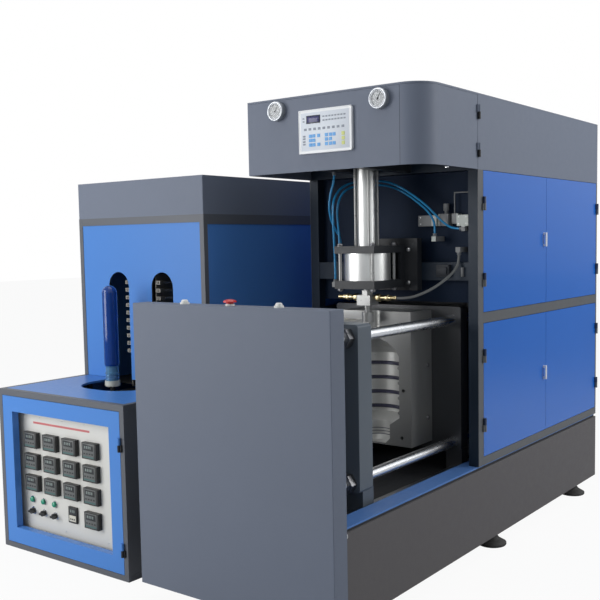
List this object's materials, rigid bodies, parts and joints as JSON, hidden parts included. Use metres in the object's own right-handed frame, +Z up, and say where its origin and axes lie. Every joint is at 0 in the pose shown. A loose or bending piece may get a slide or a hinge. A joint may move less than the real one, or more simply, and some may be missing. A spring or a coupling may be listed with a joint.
{
  "type": "blow moulding machine",
  "caption": "Semi-automatic stretch blow moulding machine: press with clamp, bottle mould and blow nozzle under a grey head, and a preform heating oven with a control cabinet.",
  "frame": {"origin": "middle of the whole machine's footprint, on the floor", "axes": "+Z up; +Y backwards along the clamp axis and the oven lanes; +X to the right, from the heater to the press"},
  "size_m": [2.021, 2.605, 2.054],
  "materials": {
    "foot_rubber": "moulded black rubber pads",
    "rail_blue": "blue paint",
    "base_grey": "dark warm grey paint",
    "ground_steel": "ground steel",
    "desk_grey": "fine textured grey paint",
    "collar_white": "white plastic",
    "button_white": "white plastic",
    "button_red": "red plastic",
    "frame_grey": "grey paint",
    "panel_blue": "blue paint",
    "inner_dark": "dark paint",
    "crown_grey": "fine textured grey paint",
    "hinge_black": "black finish",
    "door_blue": "blue paint",
    "head_grey": "fine textured grey paint",
    "keypad_white": "white membrane keypad",
    "gauge_chrome": "chromed bezel",
    "platen_grey": "blue-grey paint",
    "mould_aluminium": "machined aluminium",
    "tie_chrome": "hard chromed and polished",
    "nut_steel": "blackened steel",
    "casting_dark": "dark painted casting",
    "rod_chrome": "chromed rod",
    "cylinder_silver": "anodised aluminium",
    "barrel_silver": "polished aluminium",
    "tie_rod_steel": "bright steel",
    "bracket_dark": "dark grey paint",
    "nozzle_steel": "machined steel",
    "fitting_brass": "plated brass",
    "valve_grey": "cast valve bodies",
    "hose_blue": "blue polyurethane tube",
    "hose_grey": "grey pressure hose",
    "heater_grey": "grey paint",
    "heater_blue": "light blue paint",
    "table_blue": "light blue paint",
    "hood_grey": "fine textured grey paint",
    "panel_silver": "brushed aluminium plate",
    "meter_black": "black instrument cases",
    "lamp_green": "green lenses",
    "knob_black": "black plastic",
    "bed_dark": "dark heat-stained steel",
    "wheel_dark": "dark machined disc",
    "spindle_white": "white plastic holder",
    "preform_blue": "deep blue translucent resin",
    "rack_steel": "heat-dulled steel",
    "lamp_quartz": "quartz tubes"
  },
  "bodies": {
    "machine_body": {"levelling_feet": "foot_rubber", "base_frame": "rail_blue", "base_covers": "base_grey", "guide_rails": "ground_steel", "desk_shell": "desk_grey", "button_collars": "collar_white", "cabinet_frame": "frame_grey", "fixed_panels": "panel_blue", "partition_panel": "inner_dark", "crown_panels": "crown_grey", "hinge_barrels": "hinge_black", "cross_plate": "casting_dark", "clamp_cylinders": "cylinder_silver", "cylinder_barrels": "barrel_silver", "cylinder_tie_rods": "tie_rod_steel", "column_supports": "bracket_dark", "valve_bank": "valve_grey", "air_hose_lower": "hose_blue", "air_hose_upper": "hose_blue", "air_hose_left": "hose_blue", "blow_hose": "hose_grey", "heater_frame": "heater_grey", "oven_panels": "heater_blue", "table_top": "table_blue", "oven_hood": "hood_grey", "instrument_panel": "panel_silver", "panel_meters": "meter_black", "pilot_lamps": "lamp_green", "transport_bed": "bed_dark", "lamp_racks": "rack_steel", "quartz_lamps": "lamp_quartz"},
    "clamp_frame": {"front_platen": "platen_grey", "front_mould": "mould_aluminium", "tie_bars": "tie_chrome", "tie_bar_nuts": "nut_steel", "tail_yoke": "casting_dark", "clamp_rod": "rod_chrome"},
    "rear_platen_set": {"rear_platen": "casting_dark", "rear_mould": "mould_aluminium", "lock_rod": "rod_chrome"},
    "nozzle": {"nozzle_block": "nozzle_steel", "nozzle_fittings": "fitting_brass"},
    "stretch_rod_set": {"stretch_rod": "rod_chrome"},
    "head_cover_set": {"head_cover": "head_grey", "control_panel": "keypad_white", "pressure_gauges": "gauge_chrome"},
    "front_lower_door_set": {"front_lower_door": "door_blue"},
    "front_upper_door_set": {"front_upper_door": "door_blue"},
    "rear_lower_door_set": {"rear_lower_door": "door_blue"},
    "rear_upper_door_set": {"rear_upper_door": "door_blue"},
    "left_button": {"palm_button_left": "button_white"},
    "right_button": {"palm_button_right": "button_white"},
    "stop_button_set": {"stop_button": "button_red"},
    "control_door_set": {"control_door": "heater_blue"},
    "left_selector": {"selector_left": "knob_black"},
    "middle_selector": {"selector_middle": "knob_black"},
    "right_selector": {"selector_right": "knob_black"},
    "carrier": {"carrier_wheel": "wheel_dark"},
    "preform_spindle": {"spindle": "spindle_white", "preform": "preform_blue"}
  },
  "joints": [
    {"name": "clamp_slide", "type": "slide", "parent": "machine_body", "child": "clamp_frame", "axis": [0, 1, 0], "range_m": [0, 0.32675]},
    {"name": "rear_platen_slide", "type": "slide", "parent": "machine_body", "child": "rear_platen_set", "axis": [0, -1, 0], "range_m": [0, 0.05275]},
    {"name": "nozzle_slide", "type": "slide", "parent": "machine_body", "child": "nozzle", "axis": [0, 0, -1], "range_m": [0, 0.028]},
    {"name": "stretch_slide", "type": "slide", "parent": "machine_body", "child": "stretch_rod_set", "axis": [0, 0, -1], "range_m": [0, 0.52]},
    {"name": "head_cover_hinge", "type": "hinge", "parent": "machine_body", "child": "head_cover_set", "pos_m": [0.99, -0.166, 1.8925], "axis": [0, 0, 1], "range_deg": [0, 110]},
    {"name": "front_lower_door_hinge", "type": "hinge", "parent": "machine_body", "child": "front_lower_door_set", "pos_m": [0.99, -0.1165, 0.762], "axis": [0, 0, -1], "range_deg": [0, 110]},
    {"name": "front_upper_door_hinge", "type": "hinge", "parent": "machine_body", "child": "front_upper_door_set", "pos_m": [0.99, -0.1165, 1.419], "axis": [0, 0, -1], "range_deg": [0, 110]},
    {"name": "rear_lower_door_hinge", "type": "hinge", "parent": "machine_body", "child": "rear_lower_door_set", "pos_m": [0.99, 1.2875, 0.762], "axis": [0, 0, 1], "range_deg": [0, 110]},
    {"name": "rear_upper_door_hinge", "type": "hinge", "parent": "machine_body", "child": "rear_upper_door_set", "pos_m": [0.99, 1.2875, 1.419], "axis": [0, 0, 1], "range_deg": [0, 110]},
    {"name": "left_button_press", "type": "slide", "parent": "machine_body", "child": "left_button", "axis": [0, 0, -1], "range_m": [0, 0.005], "stiffness_N_per_m": 600, "springref_m": -0.008},
    {"name": "right_button_press", "type": "slide", "parent": "machine_body", "child": "right_button", "axis": [0, 0, -1], "range_m": [0, 0.005], "stiffness_N_per_m": 600, "springref_m": -0.008},
    {"name": "stop_button_press", "type": "slide", "parent": "machine_body", "child": "stop_button_set", "axis": [0, 0, -1], "range_m": [0, 0.005], "stiffness_N_per_m": 600, "springref_m": -0.008},
    {"name": "control_door_hinge", "type": "hinge", "parent": "machine_body", "child": "control_door_set", "pos_m": [-0.1555, -1.225, 0.38], "axis": [0, 0, 1], "range_deg": [0, 110]},
    {"name": "left_selector_turn", "type": "hinge", "parent": "machine_body", "child": "left_selector", "pos_m": [-0.851, -1.1725, 0.181], "axis": [0, -1, 0], "range_deg": [-45, 45]},
    {"name": "middle_selector_turn", "type": "hinge", "parent": "machine_body", "child": "middle_selector", "pos_m": [-0.769, -1.1725, 0.181], "axis": [0, -1, 0], "range_deg": [-45, 45]},
    {"name": "right_selector_turn", "type": "hinge", "parent": "machine_body", "child": "right_selector", "pos_m": [-0.687, -1.1725, 0.181], "axis": [0, -1, 0], "range_deg": [-45, 45]},
    {"name": "carrier_turn", "type": "hinge", "parent": "machine_body", "child": "carrier", "pos_m": [-0.57, -0.7035, 0.695], "axis": [0, 0, 1], "range_deg": [-77, 103]},
    {"name": "spindle_spin", "type": "hinge", "parent": "carrier", "child": "preform_spindle", "pos_m": [-0.60712, -0.86427, 0.75], "axis": [0, 0, 1], "continuous": true}
  ]
}
